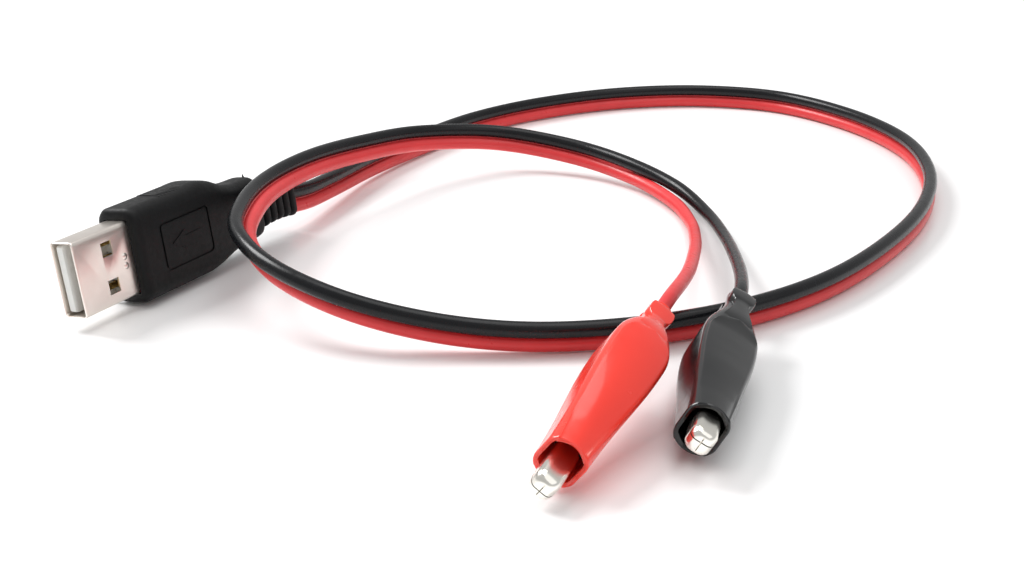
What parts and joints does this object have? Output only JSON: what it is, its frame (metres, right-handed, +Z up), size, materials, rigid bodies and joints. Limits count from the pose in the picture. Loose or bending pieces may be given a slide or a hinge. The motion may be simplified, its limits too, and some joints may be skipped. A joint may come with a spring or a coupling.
{
  "type": "alligator clip lead",
  "caption": "USB-A plug with a moulded grip on a looped red and black twin cord that ends in sprung alligator clips in vinyl boots.",
  "frame": {"origin": "on the surface the lead lies on, under the middle of the plug and the two clips", "axes": "+Z up from the surface; the cord's loop reaches out along +Y and +X, and the clips' jaws point along -Y"},
  "size_m": [0.1563, 0.2004, 0.0166],
  "materials": {
    "nickel_plate": "nickel plated, satin bright",
    "jaw_plate": "nickel plated, bright",
    "insulator": "white moulding",
    "gold_plate": "gold flash",
    "inner_moulding": "unpainted",
    "copper": "tinned and bare strands",
    "black_moulding": "fine matte texture",
    "red_wire_skin": "semi gloss",
    "black_wire_skin": "semi gloss",
    "spring_wire": "drawn wire",
    "red_vinyl": "glossy dipped vinyl",
    "black_vinyl": "glossy dipped vinyl"
  },
  "bodies": {
    "lead": {"plug_shell": "nickel_plate", "plug_tongue": "insulator", "contact_vbus": "gold_plate", "contact_data_minus": "gold_plate", "contact_data_plus": "gold_plate", "contact_ground": "gold_plate", "plug_core": "inner_moulding", "plug_red_conductor": "copper", "plug_black_conductor": "copper", "plug_overmould": "black_moulding", "red_wire": "red_wire_skin", "black_wire": "black_wire_skin", "red_fixed_jaw": "jaw_plate", "red_pivot_pin": "jaw_plate", "red_torsion_spring": "spring_wire", "red_clip_conductor": "copper", "red_boot": "red_vinyl", "black_fixed_jaw": "jaw_plate", "black_pivot_pin": "jaw_plate", "black_torsion_spring": "spring_wire", "black_clip_conductor": "copper", "black_boot": "black_vinyl"},
    "red_jaw": {"red_moving_jaw": "jaw_plate"},
    "black_jaw": {"black_moving_jaw": "jaw_plate"}
  },
  "joints": [
    {"name": "red_clip_open", "type": "hinge", "parent": "lead", "child": "red_jaw", "pos_m": [0.02793, -0.03461, 0.006], "axis": [-0.7662, 0.2442, 0.5944], "range_deg": [0, 24], "stiffness_Nm_per_rad": 0.06, "springref_deg": -40.11, "deforming": ["red_torsion_spring", "red_boot"]},
    {"name": "black_clip_open", "type": "hinge", "parent": "lead", "child": "black_jaw", "pos_m": [0.04403, -0.02671, 0.0062], "axis": [0.8521, -0.198, -0.4845], "range_deg": [0, 24], "stiffness_Nm_per_rad": 0.06, "springref_deg": -40.11, "deforming": ["black_torsion_spring", "black_boot"]}
  ]
}
